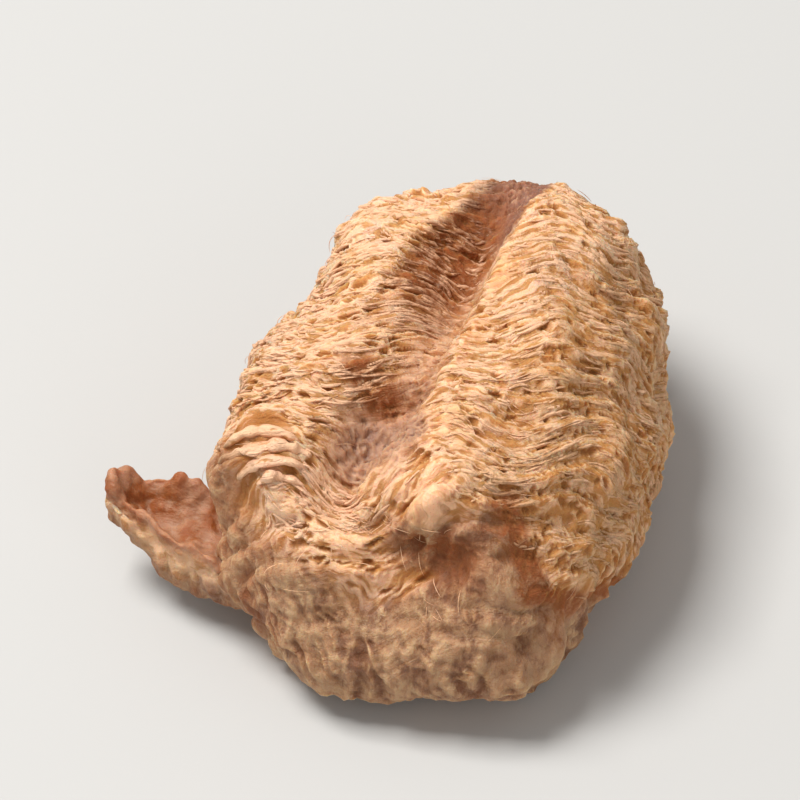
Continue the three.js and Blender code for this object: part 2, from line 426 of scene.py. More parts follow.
def wing_points(polar, turn):
    """Points of the torn wing, a flap that is hollow on top, with a thin ragged rim."""
    out = 0.5 - 0.5 * np.cos(polar)
    ring = np.sin(polar).clip(0) ** 0.35
    side = square_radius(turn, WING["bluntness"]) * ring
    across = side * np.sin(turn)
    ragged = WING_TEARS["wide"] * np.sin(3 * turn + 7 * out)
    ragged = ragged + WING_TEARS["middling"] * np.sin(17 * out + 2 * across)
    ragged = ragged + WING_TEARS["small"] * np.sin(41 * out + 5 * across) * ring
    rim = between(WING["top"], out) + WING["tip_lift"] * smoothstep(out, 0.75, 1)
    rim = rim - WING["notch"] * bell(out - 0.55, 0.2) * across
    bottom = between(WING["bottom"], out) + WING["keel_wave"] * np.sin(9 * out)
    inside = smoothstep(np.cos(turn), 0, 0.35)
    hollow = WING["hollow"] * inside * (1 - np.abs(across) ** 2.4).clip(0) * smoothstep(out, 1, 0.8)
    x = between(WING["x"], out) - 0.5 * ragged * smoothstep(out, 0.6, 1)
    y = between(WING["y"], out) - between(WING["depth"], out) / 2 * across + 0.6 * ragged * out
    z = (rim + bottom) / 2 + (rim - bottom) / 2 * side * np.cos(turn) - hollow + ragged * inside * 0.8
    return np.stack([x, y, z], axis=-1)


def middle_of_case(samples=161):
    """The origin is the middle of the bounding box of the case and its wing."""
    polar, turn = np.meshgrid(np.linspace(0, math.pi, samples), np.linspace(-math.pi, math.pi, samples))
    both = np.concatenate([form(polar.ravel(), turn.ravel()) for form in (case_points, wing_points)])
    middle = (both.min(0) + both.max(0)) / 2
    return np.array([middle[0], middle[1], 0])


CASE_MIDDLE = middle_of_case()


def to_row_frame(points):
    """From millimetres about the middle of the case to the row frame in metres."""
    return (points - CASE_MIDDLE) * MM


def leaf_ways(points, warped=True):
    """Place on the surface: along the leaves round the case, and across them."""
    x, y, z = points.T
    radius = np.hypot(x, z - GIRTH_MIDDLE)
    along = np.arctan2(x, z - GIRTH_MIDDLE) * radius
    across = leaf_count(x, y, z) * LEAF["pitch"]
    if warped:
        along = along + LEAF_WARP["along"] * noise(points, 0.7, 13)
        across = across + LEAF_WARP["across"] * noise(points, 0.45, 11)
        across = across + LEAF_WARP["small"] * noise(points, 1.5, 12)
    return along, across


def foam_cells(along, across, size, seed):
    """Distance from the nearest wall between stretched cells, in cells, and each cell's own number."""
    place = np.stack([along / size[0], across / size[1]], axis=-1)
    cell = np.floor(place).astype(np.int64)
    first = np.full(len(place), np.inf)
    second = np.full(len(place), np.inf)
    number = np.zeros(len(place))
    for step in itertools.product((-1, 0, 1), repeat=2):
        other = cell + np.array(step)
        key = np.concatenate([other, np.zeros((len(place), 1), np.int64)], axis=-1)
        scatter = 2 * np.stack([hashed(key, seed), hashed(key, seed + 1)], axis=-1) - 1
        away = np.linalg.norm(place - (other + 0.5 + CELL_SCATTER * scatter), axis=-1)
        nearer = away < first
        second = np.where(nearer, first, np.minimum(second, away))
        number = np.where(nearer, hashed(key, seed + 2), number)
        first = np.where(nearer, away, first)
    return second - first, number


def foam_zones(points, turn):
    """Shares from 0 to 1 of each kind of surface, which the fine relief and the colours follow."""
    x, y, z = points.T
    past_lip = y - lip_line(x)
    from_lip_middle = np.abs(x - LIP["x"])
    height = z + 1.2 * noise(points, 0.5, 52)
    top = smoothstep(np.cos(turn), *ZONE["top_side"]) * smoothstep(height, *ZONE["top_height"])
    trough = furrow_trough(x, y) * top
    bowl = bowl_share(x, y) * top
    terrace = terrace_share(x, y) * top
    narrow = smoothstep(y, *ZONE["narrow_near"]) * (1 - smoothstep(y, *ZONE["narrow_far"]))
    step_down = spot(x, y, STEP_DOWN) * top
    window = face_spot(x, z, WINDOW_PATCH) * smoothstep(-y, *ZONE["window_near"])
    # Painted shadow: the crease down the near face is painted brown.
    crease = bell(x - crease_x(z), CREASE_SHADE_WIDTH) * smoothstep(z, *ZONE["crease_foot"])
    crease = crease * smoothstep(-past_lip, *ZONE["crease_near"])
    lip_ends = 1 - smoothstep(from_lip_middle, *ZONE["lip_ends"])
    rim = bell(past_lip - RIM["wander"] * noise(points, 0.6, 51), RIM["width"]) * lip_ends * top
    near_wall = bell(past_lip - NEAR_WALL["behind"], NEAR_WALL["width"]) * lip_ends * top

    trough_film = smoothstep(trough, *ZONE["trough_film"]) * (1 - 0.9 * terrace)
    film = np.maximum(trough_film, smoothstep(bowl, *ZONE["bowl_film"]))
    film = film * smoothstep(past_lip, *ZONE["behind_lip"])
    skin = smoothstep(-past_lip, *ZONE["skin_near"]) * smoothstep(crease_x(z) - x, *ZONE["skin_left"])
    skin = np.maximum(skin, smoothstep(window, *ZONE["window_skin"])) * (1 - film)
    felt = smoothstep(x + 1.2 * noise(points, 0.4, 31) - 0.1 * y, *ZONE["felt"]) * (1 - skin)
    roll = spot(x, y, ROLL) ** 0.5 * smoothstep(z, *ZONE["roll_height"])
    film = film * (1 - near_wall) * (1 - 0.55 * narrow) * (1 - 0.7 * step_down)
    corner_skin = skin * smoothstep(-x, *ZONE["left_corner"])
    # Brown marks: the terrace, the window, the step into the bowl and the near left skin are browner, and
    # the crease and the middle of the furrow's floor take brown as painted shade.
    brown_marks_and_shade = [terrace, WINDOW_PATCH["strength"] * window, crease, step_down]
    return {
        "film": film,
        "skin": skin,
        "felt": felt,
        "leafy": (1 - film) * (1 - skin),
        "roll": smoothstep(roll, *ZONE["roll"]),
        "rim": rim,
        "near_wall": near_wall,
        "window": window,
        "brown": np.maximum.reduce([*brown_marks_and_shade, 0.15 * trough * narrow, 0.3 * corner_skin]),
        "shade": smoothstep(trough, *ZONE["furrow_shade"]) * smoothstep(y, *ZONE["far_shade"]),
    }


def foam_forms(points, along, across, near_wall):
    """The small forms of the surface: from 0 to 1, or from -1 to 1 where they go both ways."""
    x, y, z = points.T
    wall_gap, own = foam_cells(along, across, CELL["size"], 71)
    closed = CELL["closed"] - 0.22 * near_wall - 0.1 * smoothstep(-x, 1, 5)
    slit = smoothstep(own, closed, closed + CELL["edge"]) * smoothstep(wall_gap, *CELL["slit"])
    small_gap, small_own = foam_cells(along + SMALL_CELL["shift"], across, SMALL_CELL["size"], 81)
    pit = smoothstep(small_own, *OPEN_SMALL_CELLS) * smoothstep(small_gap, *SMALL_CELL["pit"])
    row = across / ROW_STEP["pitch"]
    phase = row - np.floor(row)
    place = np.stack([along * ROW_STEP["stretch"], np.floor(row) * ROW_STEP["parting"], 0 * x], axis=-1)
    strength = smoothstep(noise(place, 1.0, 22), *ROW_STEP["strength"])

    lump = noise(points, 0.8, 43)
    folded = points * (0.75, 0.5, 0.3) + 0.4 * noise(points, 0.5, 63)[:, None]
    strands = np.stack([1.7 * (0.8 * x + 0.6 * z), 0.45 * (0.8 * z - 0.6 * x), 0.6 * y], axis=-1)
    return {
        "wall": 1 - smoothstep(wall_gap, *CELL["wall"]),
        "slit": slit,
        "small_wall": 1 - smoothstep(small_gap, *SMALL_CELL["wall"]),
        "pit": pit,
        "step": strength * smoothstep(phase, *ROW_STEP["edge"]) * (1 - phase),
        "lump": lump,
        "grain": noise(points, 3.4, 42),
        "blister": noise(points, 1.1, 44),
        "fold": ridges(folded, 1.0, 61),
        "wrinkle": ridges(points * (0.7, 1.0, 1.5), 1.1, 62),
        "strand": ridges(strands + 0.5 * lump[:, None], 1.0, 64),
    }


def relief_of(heights, forms):
    return sum(height * forms[name] for name, height in heights.items())


def foam_relief(points, turn):
    """Fine height of the foam's surface, the marks that its colours follow, and its leaf ways."""
    along, across = leaf_ways(points)
    zones = foam_zones(points, turn)
    forms = foam_forms(points, along, across, zones["near_wall"])
    felt = zones["felt"]
    roll = zones["roll"]
    leafy = (1 - felt) * relief_of(LEAFY_RELIEF, forms) + felt * relief_of(FELT_RELIEF, forms)
    leafy = leafy * (1 - roll) - ROLL_SINK * roll + relief_of(FOAM_RELIEF, forms)
    height = zones["leafy"] * leafy + RIM["height"] * zones["rim"] - WINDOW_SINK * zones["window"]
    height = height + zones["skin"] * relief_of(SKIN_RELIEF, forms)
    height = height + zones["film"] * relief_of(FILM_RELIEF, forms)
    # Painted shade: the gap mark darkens the cut slits and pits, partly their own orange-brown and partly
    # the shade in them, and darkens the body under the rolled leaves as the shade between them.
    gap = np.maximum(forms["slit"], forms["pit"] * (0.4 + 0.5 * felt)) * (1 - roll) + 0.65 * roll
    marks = {name: zones[name] for name in ("film", "skin", "felt", "brown", "shade", "roll")}
    # Painted light and shade: the crest mark makes the colour paler where the relief stands higher and on
    # the lip's rim, and darker in the hollows.
    marks["crest"] = np.clip(0.42 + height / 0.7 + 0.4 * zones["rim"], 0, 1)
    marks["gap"] = np.clip(gap, 0, 1) * zones["leafy"]
    marks["window"] = smoothstep(zones["window"], *ZONE["window_bare"])
    return height, marks, np.stack([along, across, 0 * along], axis=-1)


def case_normals(polar, turn):
    """Outward directions of the main form."""
    step = 0.004
    girthwise = case_points(polar, turn + step) - case_points(polar, turn - step)
    lengthwise = case_points(polar + step, turn) - case_points(polar - step, turn)
    out = np.cross(lengthwise, girthwise)
    return out / np.linalg.norm(out, axis=-1, keepdims=True)


def ball_grid(around, along):
    """A ball with its poles at the ends of the case, and the polar angle and turn of each vertex."""
    bm = bmesh.new()
    bmesh.ops.create_uvsphere(bm, u_segments=around, v_segments=along, radius=1)
    ball = np.array([v.co for v in bm.verts])
    return bm, np.arccos(ball[:, 2].clip(-1, 1)), np.arctan2(ball[:, 1], ball[:, 0])


def strips(count, segments, rows):
    """Many separate strips of quads, made as one grid that is then parted."""
    bm = bmesh.new()
    bmesh.ops.create_grid(bm, x_segments=rows, y_segments=count * (segments + 1) - 1, size=1)
    parted = [face for k, face in enumerate(bm.faces) if k // rows % (segments + 1) == segments]
    bmesh.ops.delete(bm, geom=parted, context="FACES")
    return bm


def mesh_of(bm, name):
    """Keeps a bmesh as a mesh and frees it."""
    mesh = bpy.data.meshes.new(name)
    bm.to_mesh(mesh)
    bm.free()
    return mesh


def set_points(mesh, points):
    """Moves a mesh's vertices to points given in millimetres."""
    mesh.vertices.foreach_set("co", to_row_frame(points).astype(np.float32).ravel())
    mesh.update()


def mesh_normals(mesh):
    normals = np.empty(len(mesh.vertices) * 3, np.float32)
    mesh.vertex_normals.foreach_get("vector", normals)
    return normals.reshape(-1, 3).astype(float)


def set_attribute(mesh, name, values, kind="FLOAT", field="value"):
    attribute = mesh.attributes.new(name, kind, "POINT")
    attribute.data.foreach_set(field, np.asarray(values, np.float32).ravel())


def paint_marks(mesh, marks, leaf_way):
    """Writes what the foam's colours follow."""
    for name in MARKS:
        set_attribute(mesh, name, marks.get(name, np.zeros(len(mesh.vertices))))
    set_attribute(mesh, "leaf_way", leaf_way, "FLOAT_VECTOR", "vector")


def made_material(name):
    """A material that the foam body's step has made."""
    material = bpy.data.materials.get(name)
    if material is None:
        raise RuntimeError("Make the foam body first, because it makes the material " + name)
    return material


def finish_piece(name, mesh, material):
    """Links a finished mesh as a piece of the case."""
    mesh.shade_smooth()
    mesh.materials.append(material)
    piece = bpy.data.objects.new(name, mesh)
    bpy.context.scene.collection.objects.link(piece)
    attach(piece, "root")
    return piece


def leaf_edges(rng, count, turns, tall):
    """Random leaf edges over a range of turns round the case, in rows along it."""
    return {
        "start": rng.uniform(*turns, count),
        "sweep": rng.uniform(*LEAF_EDGE["sweep"], count),
        "across": rng.choice(LEAF_ROWS, count) + rng.normal(0, LEAF_EDGE["scatter"], count),
        "slope": rng.normal(0, LEAF_EDGE["slope"], count),
        "arch": rng.normal(0, LEAF_EDGE["arch"], count),
        "tall": rng.uniform(*tall, count),
        "lean": rng.uniform(*LEAF_EDGE["lean"], count),
        "thick": rng.uniform(*LEAF_EDGE["thick"], count),
        "shade": rng.uniform(0, 1, count) ** 0.7,
    }


def polar_on_leaf(across, turn, halvings=12):
    """Polar angle at which a leaf crosses each turn round the case, found by halving."""
    low = np.full(len(turn), LEAF_POLARS[0])
    high = np.full(len(turn), LEAF_POLARS[1])
    for _ in range(halvings):
        middle = (low + high) / 2
        beyond = leaf_ways(case_points(middle, turn), warped=False)[1] > across
        low = np.where(beyond, middle, low)
        high = np.where(beyond, high, middle)
    return (low + high) / 2


def leaf_lines(leaves, segments):
    """Polar angle and turn along each leaf edge."""
    share = np.linspace(0, 1, segments + 1)
    turn = leaves["start"][:, None] + leaves["sweep"][:, None] * share
    swing = leaves["slope"][:, None] * (share - 0.5) + leaves["arch"][:, None] * np.sin(math.pi * share)
    polar = polar_on_leaf((leaves["across"][:, None] + swing).ravel(), turn.ravel())
    return polar.reshape(turn.shape), turn


def leaf_cover(marks, polar):
    """How far the thin leaves stand out: not on the skin, film or roll, nor over a gap."""
    shape = polar.shape
    covered = np.maximum.reduce([marks[name] for name in ("skin", "film", "roll", "window")])
    bare = 1 - smoothstep(covered, 0.25, 0.7)
    bare = bare.reshape(shape) * smoothstep(polar, 0.27, 0.4) * smoothstep(math.pi - polar, 0.32, 0.45)
    return bare.min(axis=1)[:, None] * (1 - marks["gap"].reshape(shape))


def kept_leaves(leaves, lines, cover):
    """Leaves that show, and that don't leap over a hollow."""
    polar, turn = lines
    points = case_points(polar.ravel(), turn.ravel())
    bare = cover(foam_relief(points, turn.ravel())[1], polar).max(axis=1)
    steps = np.diff(points.reshape(*turn.shape, 3), axis=1)
    leap = np.linalg.norm(steps, axis=-1).max(axis=1)
    kept = (leap < LEAF_EDGE["longest_leap"]) & (bare > LEAF_EDGE["least_bare"])
    return {name: values[kept] for name, values in leaves.items()}, (polar[kept], turn[kept])


def ribbon_points(leaves, polar, turn, section, cover=None):
    """Points of many leaf edges, each a thin wall that stands on its line over the foam."""
    segments = turn.shape[1] - 1
    share = np.linspace(0, 1, segments + 1)
    base = case_points(polar.ravel(), turn.ravel())
    relief, marks, _ = foam_relief(base, turn.ravel())
    out = case_normals(polar.ravel(), turn.ravel())
    relief = relief.reshape(turn.shape)
    padded = np.pad(relief, ((0, 0), (1, 1)), mode="edge")
    relief = np.maximum(relief, (padded[:, 2:] + padded[:, :-2]) / 2).ravel()
    bare = cover(marks, polar) if cover else np.ones(turn.shape)
    base = base + out * (relief - LEAF_EDGE["sunk"] * (1 - bare.ravel()))[:, None]
    way = np.gradient(base.reshape(len(turn), -1, 3), axis=1).reshape(-1, 3)
    aside = np.cross(out, way)
    aside /= np.linalg.norm(aside, axis=-1, keepdims=True)
    taper = np.sin(math.pi * share) ** 0.6
    tall = (leaves["tall"][:, None] * bare * taper).ravel() * (0.8 + 0.35 * noise(base, 1.6, 91))
    lean = np.repeat(leaves["lean"], segments + 1) + 0.5 * noise(base, 0.7, 92)
    thick = (leaves["thick"][:, None] * (0.25 + 0.75 * taper)).ravel() * (0.9 + 0.4 * noise(base, 2.2, 93))
    shell = []
    for side, up in section:
        curl = lean * up**1.6
        rise = tall * up - LEAF_EDGE["foot"] * (1 - up)
        offset = side * thick / 2 - rise * np.sin(curl)
        shell.append(base + out * (rise * np.cos(curl))[:, None] + aside * offset[:, None])
    return np.stack(shell, axis=1).reshape(-1, 3)


def leaf_piece(name, leaves, segments, section, cover=None):
    """A piece of many leaf edges."""
    lines = leaf_lines(leaves, segments)
    if cover:
        leaves, lines = kept_leaves(leaves, lines, cover)
    points = ribbon_points(leaves, *lines, section, cover)
    mesh = mesh_of(strips(len(lines[0]), segments, len(section) - 1), name)
    set_points(mesh, points)
    rise = np.tile([up for side, up in section], len(points) // len(section))
    shade = np.repeat(leaves["shade"], (segments + 1) * len(section))
    marks = foam_relief(points, np.arctan2(points[:, 0], points[:, 2] - WAIST_HEIGHT))[1]
    # Painted light and shade: each leaf edge is paler towards its tip and painted orange-brown towards its
    # foot, as the shade between the edges.
    marks["crest"] = 0.5 + 0.2 * rise + 0.35 * shade * rise
    marks["gap"] = 0.75 * (1 - rise)
    paint_marks(mesh, marks, np.stack([*leaf_ways(points), 0 * rise], axis=-1))
    finish_piece(name, mesh, made_material("foam_edges"))


def fibre_lines(rng, look):
    """The bent line of each loose fibre, its way and outward direction, and its radius along it."""
    count = look.count
    share = np.linspace(0, 1, FIBRE["segments"] + 1)
    polar = rng.uniform(*FIBRE["polar"], count)
    turn = rng.uniform(*FIBRE["turn"], count)
    near = np.arange(count) < look.near_count
    polar[near] = rng.uniform(*FIBRE["near_polar"], near.sum())
    length = rng.uniform(*in_millimetres(look.length), count)
    heading = np.where(near, rng.uniform(0, 2 * math.pi, count), rng.normal(0, FIBRE["heading"], count))
    place = case_points(polar, turn)
    out = case_normals(polar, turn)
    place = place + out * foam_relief(place, turn)[0][:, None]
    girth = np.cross(out, (0, 1.0, 0))
    girth /= np.linalg.norm(girth, axis=-1, keepdims=True)
    way = girth * np.cos(heading)[:, None] + np.cross(out, girth) * np.sin(heading)[:, None]
    bend = rng.normal(0, FIBRE["bend"], (count, 3))
    arch = rng.uniform(*FIBRE["arch"], count)
    middle = (share - 0.5)[None, :, None]
    line = place[:, None] + way[:, None] * length[:, None, None] * middle
    line = line + bend[:, None] * 0.4 * (middle**2 - 0.08) * length[:, None, None]
    lift = arch[:, None] * (1 - (2 * share - 1) ** 2)[None] + FIBRE["clearance"]
    line = line + out[:, None] * lift[..., None]
    thinning = 1 - 0.7 * np.abs(2 * share - 1) ** 3
    radius = rng.uniform(*in_millimetres(look.radius), count)[:, None] * thinning[None]
    return line, way, out, radius


class Value:
    """A shader socket that takes part in Python expressions."""

    def __init__(self, paint, socket):
        self.paint = paint
        self.socket = socket

    def __add__(self, other):
        return self.paint.math("ADD", self, other)

    def __sub__(self, other):
        return self.paint.math("SUBTRACT", self, other)

    def __rsub__(self, other):
        return self.paint.math("SUBTRACT", other, self)

    def __mul__(self, other):
        return self.paint.math("MULTIPLY", self, other)

    __radd__ = __add__
    __rmul__ = __mul__


class Paint:
    """Builds one material's nodes."""

    def __init__(self, name):
        self.material = bpy.data.materials.new(name)
        self.material.use_nodes = True
        self.tree = self.material.node_tree
        self.tree.nodes.clear()

    def node(self, kind, settings=None, sockets=None, output=0):
        """Adds a node, sets its settings and then its sockets, and returns one of its outputs."""
        node = self.tree.nodes.new(kind)
        for key, value in (settings or {}).items():
            setattr(node, key, value)
        for key, value in (sockets or {}).items():
            if isinstance(value, Value):
                self.tree.links.new(value.socket, node.inputs[key])
            elif hasattr(value, "__len__") and len(value) == 3 and node.inputs[key].type == "RGBA":
                node.inputs[key].default_value = (*value, 1)
            else:
                node.inputs[key].default_value = value
        return Value(self, node.outputs[output]) if len(node.outputs) else None

    def math(self, operation, a, b=0.0, clamp=False):
        return self.node("ShaderNodeMath", {"operation": operation, "use_clamp": clamp}, {0: a, 1: b})

    def clamp(self, a):
        return self.math("ADD", a, 0.0, clamp=True)

    def mix(self, a, b, factor):
        """Colour a turning into colour b."""
        return self.node("ShaderNodeMix", {"data_type": "RGBA"}, {0: factor, 6: a, 7: b}, output=2)

    def attribute(self, name, output=2):
        return self.node("ShaderNodeAttribute", {"attribute_name": name}, output=output)

    def ramp(self, value, low, high):
        """0 at low and 1 at high, smooth between them. Low may be the larger of the two."""
        sockets = {"Value": value, "From Min": low, "From Max": high}
        return self.node("ShaderNodeMapRange", {"interpolation_type": "SMOOTHSTEP"}, sockets)

    def scaled(self, vector, factors):
        return self.node("ShaderNodeVectorMath", {"operation": "MULTIPLY"}, {0: vector, 1: factors})

    def place(self, factors):
        """Object coordinates, scaled along each axis."""
        return self.scaled(self.node("ShaderNodeTexCoord", output="Object"), factors)

    def noise(self, vector, scale, detail=3.0, roughness=0.55):
        sockets = {"Vector": vector, "Scale": scale, "Detail": detail, "Roughness": roughness}
        return self.node("ShaderNodeTexNoise", {}, sockets, output="Fac")


def foam_material(look, name, softness):
    """Dried foam: straw crests, orange-brown gaps, mauve film in the furrow and brown near skin, with
    painted light on the crests and painted shade in the hollows, gaps and crease.
    """
    paint = Paint(name)
    crest, gap, film, skin, felt, brown, shade = [paint.attribute(mark) for mark in MARKS]
    leaf_way = paint.attribute("leaf_way", output=1)
    place = paint.place((1 / MM, 1 / MM, 1 / MM))
    fibres = paint.noise(paint.scaled(leaf_way, (0.8, 5.0, 1.0)), 1.0, 4.0, 0.6)
    dash = paint.noise(paint.scaled(leaf_way, (1.0, 2.7, 1.0)), 1.0, 2.0, 0.5)
    patches = paint.noise(place, 0.35, 2.0)
    mottle = paint.noise(place, 1.6, 4.0, 0.6)
    grain = paint.noise(place, 7.0, 3.0, 0.6)
    strands = paint.noise(paint.place((2000, 1500, 640)), 1.0, 4.0, 0.65)

    # Painted light and shade: straw on the raised crests, tan lower down and pink only on the crests follow
    # the height of the relief.
    colour = paint.mix(look.tan, look.straw, paint.ramp(crest * 0.8 + fibres * 0.7, 0.35, 0.85))
    colour = paint.mix(colour, look.golden, paint.ramp(patches, 0.5, 0.75) * 0.5)
    pink = paint.ramp(patches, 0.5, 0.25) * paint.ramp(crest, 0.3, 0.6)
    colour = paint.mix(colour, look.pink, pink * 0.45)
    colour = paint.mix(colour, look.felt, felt * paint.ramp(mottle, 0.25, 0.65) * 0.8)
    # Painted shade: ochre darkens the hollows where the crest mark is low; the ochre dashes along the leaves
    # are their own colour, kept off the crests.
    hollow = paint.ramp(0.6 - crest * 0.8 + (mottle - 0.5) * 0.6, 0.28, 0.6)
    colour = paint.mix(colour, look.ochre, hollow * 0.85)
    colour = paint.mix(colour, look.ochre, paint.ramp(dash - crest * 0.25, 0.31, 0.47) * 0.85)

    # Painted light and shade: the film is paler on its crests and darker in the far part of the furrow
    # through the shade mark; its blotches are its own colour.
    film_light = paint.ramp(mottle * 1.5 + crest * 0.8 - shade * 0.5, 0.75, 1.2)
    film_tone = paint.mix(look.film_dark, look.film, film_light)
    colour = paint.mix(colour, film_tone, paint.clamp(film + shade * 0.85))
    # Painted light: the skin's paler tones and dried strands show more on its crests.
    skin_light = paint.ramp(crest * 0.8 + strands * 1.2 + patches * 1.1, 1.35, 1.75)
    skin_tone = paint.mix(look.skin_dark, look.skin, skin_light)
    pale = paint.ramp(crest * 0.6 + strands + mottle * 0.5, 1.1, 1.45)
    skin_tone = paint.mix(skin_tone, look.skin_pale, pale * 0.7)
    colour = paint.mix(colour, skin_tone, skin * 0.9)
    # Painted shade and own colour: brown is mixed in where the brown mark lies, more in the hollows than on
    # the crests.
    browned_and_shaded = paint.clamp(brown * 1.6) * paint.ramp(mottle + crest * 0.4, 1.1, 0.65)
    colour = paint.mix(colour, look.brown, browned_and_shaded)
    # Painted shade: the gap colour darkens slits, pits, the feet of the leaf edges and the body under the
    # rolled leaves.
    colour = paint.mix(colour, look.gap, gap * 0.85)
    colour = paint.mix(colour, look.skin_dark, paint.ramp(grain + mottle * 0.3, 0.8, 0.9) * 0.6)

    height = fibres * (0.8 - skin * 0.5) + grain * 0.3 + mottle * 0.5 - dash * 0.5
    height = (height + strands * skin * 0.9) * (1 - film * 0.5)
    bump = paint.node("ShaderNodeBump", {}, {"Strength": 0.8, "Distance": BUMP_DEPTH, "Height": height})
    sockets = {
        "Base Color": colour,
        "Roughness": 0.78 - film * 0.3 - skin * 0.14,
        "Normal": bump,
        "Subsurface Weight": softness,
        "Subsurface Radius": SOFT_RADIUS,
        "Subsurface Scale": SOFT_DEPTH,
        "Specular IOR Level": 0.35,
    }
    shader = paint.node("ShaderNodeBsdfPrincipled", {}, sockets)
    paint.node("ShaderNodeOutputMaterial", {}, {"Surface": shader})
    return paint.material


def in_millimetres(lengths):
    return [length / MM for length in lengths]


def aimed(obj, place, target):
    """Stands a camera or light at a place and turns it to a target."""
    obj.location = place
    obj.rotation_euler = (Vector(place) - Vector(target)).to_track_quat("Z", "Y").to_euler()
    bpy.context.scene.collection.objects.link(obj)
    return obj


def soft_light(name, light, target, power):
    lamp = bpy.data.lights.new(name, "AREA")
    lamp.energy = power
    lamp.size = light["size"]
    return aimed(bpy.data.objects.new(name, lamp), target + Vector(light["place"]), target)


def tint(name, description, colour):
    return FloatVectorProperty(name=name, description=description, subtype="COLOR", default=colour)


def ring_count(description, count):
    return IntProperty(name="Lengthwise", description=description, default=count, min=8)


class FoamLook(bpy.types.PropertyGroup):
    """Surface of the foam."""

    around: IntProperty(name="Around", description="Facets round the case", default=280, min=8)
    lengthwise: ring_count("Rings of facets along the case", 350)
    crowding: FloatProperty(name="Crowding", description="How far facets are drawn to the top", default=0.55)
    # Straw and tan are mixed by the crest mark, so they carry painted light on the crests and painted shade
    # lower down.
    straw: tint("Straw", "Leaf crests", (0.91, 0.545, 0.325))
    pink: tint("Pink", "Cooler patches", (0.89, 0.56, 0.40))
    tan: tint("Tan", "Body of the leaves", (0.69, 0.345, 0.168))
    golden: tint("Golden", "Warmer patches", (0.80, 0.41, 0.155))
    felt: tint("Felt", "Felted right lobe", (0.58, 0.31, 0.14))
    # Ochre is painted shade in the hollows between leaves, and the own colour of the dashes along them.
    ochre: tint("Ochre", "Hollows between leaves", (0.50, 0.205, 0.045))
    # Brown colours the terrace, the window and the wing's inside, and is painted shadow in the crease and
    # the furrow's floor.
    brown: tint("Brown", "Terrace and other stains", (0.29, 0.085, 0.02))
    # Gap is painted shade in slits, pits and between leaves, partly their own orange-brown.
    gap: tint("Gap", "Deep gaps and pits", (0.38, 0.13, 0.028))
    film: tint("Film", "Smooth film in the furrow", (0.42, 0.225, 0.135))
    # Dark film is also painted shade in the far part of the furrow.
    film_dark: tint("Dark film", "Blotches of the film", (0.24, 0.105, 0.065))
    skin: tint("Skin", "Near skin", (0.36, 0.185, 0.09))
    skin_pale: tint("Pale skin", "Dried strands on the near skin", (0.54, 0.355, 0.19))
    skin_dark: tint("Dark skin", "Blotches and specks", (0.165, 0.058, 0.024))


class LeafLook(bpy.types.PropertyGroup):
    """Free edges of the leaves."""

    left_count: IntProperty(name="Left", description="Leaves tried on the left lobe", default=2700, min=1)
    right_count: IntProperty(name="Right", description="Leaves tried on the right lobe", default=1700, min=1)
    left_height: FloatVectorProperty(
        name="Left height", description="Lowest and highest left leaf", size=2, unit="LENGTH",
        default=(0.04 * MM, 0.15 * MM),
    )
    right_height: FloatVectorProperty(
        name="Right height", description="Lowest and highest right leaf", size=2, unit="LENGTH",
        default=(0.015 * MM, 0.075 * MM),
    )


class WingLook(bpy.types.PropertyGroup):
    """Mesh of the torn wing."""

    around: IntProperty(name="Around", description="Facets round the wing", default=120, min=8)
    lengthwise: ring_count("Rings of facets along the wing", 90)


class FibreLook(bpy.types.PropertyGroup):
    """Loose dried fibres."""

    count: IntProperty(name="Fibres", description="Loose fibres in all", default=90, min=1)
    near_count: IntProperty(name="Near fibres", description="Fibres on the near face", default=20, min=0)
    length: FloatVectorProperty(
        name="Length", description="Shortest and longest fibre", size=2, unit="LENGTH",
        default=(0.6 * MM, 2.2 * MM),
    )
    radius: FloatVectorProperty(
        name="Radius", description="Thinnest and thickest fibre", size=2, unit="LENGTH",
        default=(0.012 * MM, 0.028 * MM),
    )


class StageLook(bpy.types.PropertyGroup):
    """Floor, lights and camera."""

    floor: tint("Floor", "Colour of the floor", (0.50, 0.49, 0.47))
    azimuth: FloatProperty(
        name="Azimuth", description="Turn of the camera", subtype="ANGLE", default=math.radians(20)
    )
    elevation: FloatProperty(
        name="Elevation", description="Camera above the horizon", subtype="ANGLE", default=math.radians(48)
    )
    distance: FloatProperty(name="Distance", description="Camera to case", unit="LENGTH", default=0.6)
    view_width: FloatProperty(
        name="View width", description="Width seen at the case", unit="LENGTH", default=0.05096
    )
    key: FloatProperty(name="Key light", description="Power of the key light", unit="POWER", default=3.15)
    fill: FloatProperty(name="Fill light", description="Power of the fill light", unit="POWER", default=0.5)
    world: FloatProperty(name="World light", description="Strength of the white world", default=0.45)


